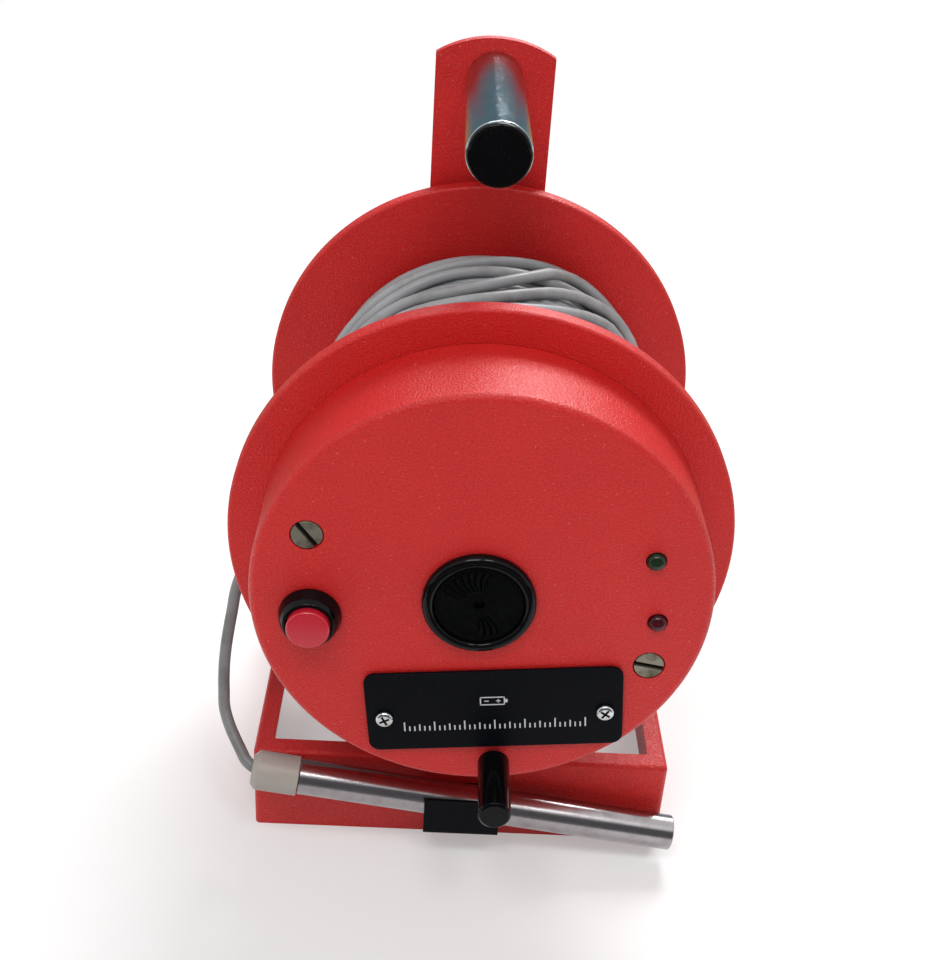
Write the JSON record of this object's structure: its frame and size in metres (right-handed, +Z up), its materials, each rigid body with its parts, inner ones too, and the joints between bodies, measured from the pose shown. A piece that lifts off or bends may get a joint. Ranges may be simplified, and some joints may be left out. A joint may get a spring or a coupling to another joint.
{
  "type": "water level indicator reel",
  "caption": "Hand-carried drum reel on an open base frame, with crank knob, push button, lamps, sounder and a cable probe for finding the water level in a borehole.",
  "frame": {"origin": "on the floor under the middle of the object, whose lowest edges are those of the base frame", "axes": "+Z up, -Y out of the housing face towards the user, +X to the right as seen from the front; the drum axis is parallel to Y"},
  "size_m": [0.2076, 0.2422, 0.31],
  "materials": {
    "red_coat": "wrinkle-textured red powder coat",
    "zinc_steel": "zinc-plated steel",
    "stainless": "turned stainless steel, polished",
    "chrome_tube": "bright chrome plate",
    "aged_nickel": "turned nickel plate, dulled",
    "bronze": "sintered bronze",
    "black_gloss": "glossy black moulded plastic",
    "black_satin": "dull black moulded plastic",
    "black_coat": "black satin coating",
    "red_plastic": "red moulded plastic",
    "grey_plastic": "warm grey turned plastic",
    "white_nylon": "natural nylon",
    "grey_cable": "grey PVC sheath",
    "green_lens": "tinted green lens, unlit",
    "red_lens": "tinted red lens, unlit",
    "battery_jacket": "plain dark grey jacket",
    "board": "green solder mask"
  },
  "bodies": {
    "stand": {"base_frame": "red_coat", "upright_plate": "red_coat", "upright_bolt_1": "zinc_steel", "upright_bolt_2": "zinc_steel", "upright_bolt_3": "zinc_steel", "upright_bolt_4": "zinc_steel", "upright_nut_1": "zinc_steel", "upright_nut_2": "zinc_steel", "upright_nut_3": "zinc_steel", "upright_nut_4": "zinc_steel", "handle_tube": "chrome_tube", "handle_end_plug": "black_gloss", "handle_anchor": "zinc_steel", "handle_washer": "zinc_steel", "handle_bolt": "zinc_steel", "axle": "stainless", "axle_front_washer": "zinc_steel", "axle_front_nut": "zinc_steel", "axle_rear_washer": "zinc_steel", "axle_rear_nut": "zinc_steel", "thrust_washer": "white_nylon", "probe_clip": "black_coat", "clip_rivet_1": "zinc_steel", "clip_rivet_2": "zinc_steel", "probe_tube": "stainless", "probe_cap": "grey_plastic", "probe_insulator": "white_nylon", "probe_sensor": "stainless", "probe_lead": "grey_cable"},
    "drum": {"drum_core": "red_coat", "front_flange": "red_coat", "rear_flange": "red_coat", "front_bush": "bronze", "rear_bush": "bronze", "wound_cable": "grey_cable", "front_housing": "red_coat", "housing_pillar_1": "zinc_steel", "housing_pillar_2": "zinc_steel", "housing_screw_1": "aged_nickel", "housing_screw_2": "aged_nickel", "button_body": "black_gloss", "button_nut": "black_coat", "sounder_case": "black_gloss", "sounder_disc": "black_satin", "lamp_green": "green_lens", "lamp_red": "red_lens", "battery_cover": "black_coat", "cover_screw_1": "zinc_steel", "cover_screw_2": "zinc_steel", "battery_holder": "black_satin", "battery": "battery_jacket", "circuit_board": "board", "board_pillar_1": "white_nylon", "board_pillar_2": "white_nylon", "crank_spindle": "zinc_steel", "spindle_nut": "zinc_steel"},
    "button": {"button_cap": "red_plastic"},
    "knob": {"crank_knob": "black_gloss"}
  },
  "joints": [
    {"name": "drum_spin", "type": "hinge", "parent": "stand", "child": "drum", "pos_m": [0, 0, 0.1481], "axis": [0, 1, 0], "continuous": true},
    {"name": "button_press", "type": "slide", "parent": "drum", "child": "button", "axis": [0, 1, 0], "range_m": [0, 0.0025], "stiffness_N_per_m": 900, "springref_m": -0.002},
    {"name": "knob_spin", "type": "hinge", "parent": "drum", "child": "knob", "pos_m": [0.00918, -0.105, 0.07336], "axis": [0, 1, 0], "continuous": true}
  ]
}
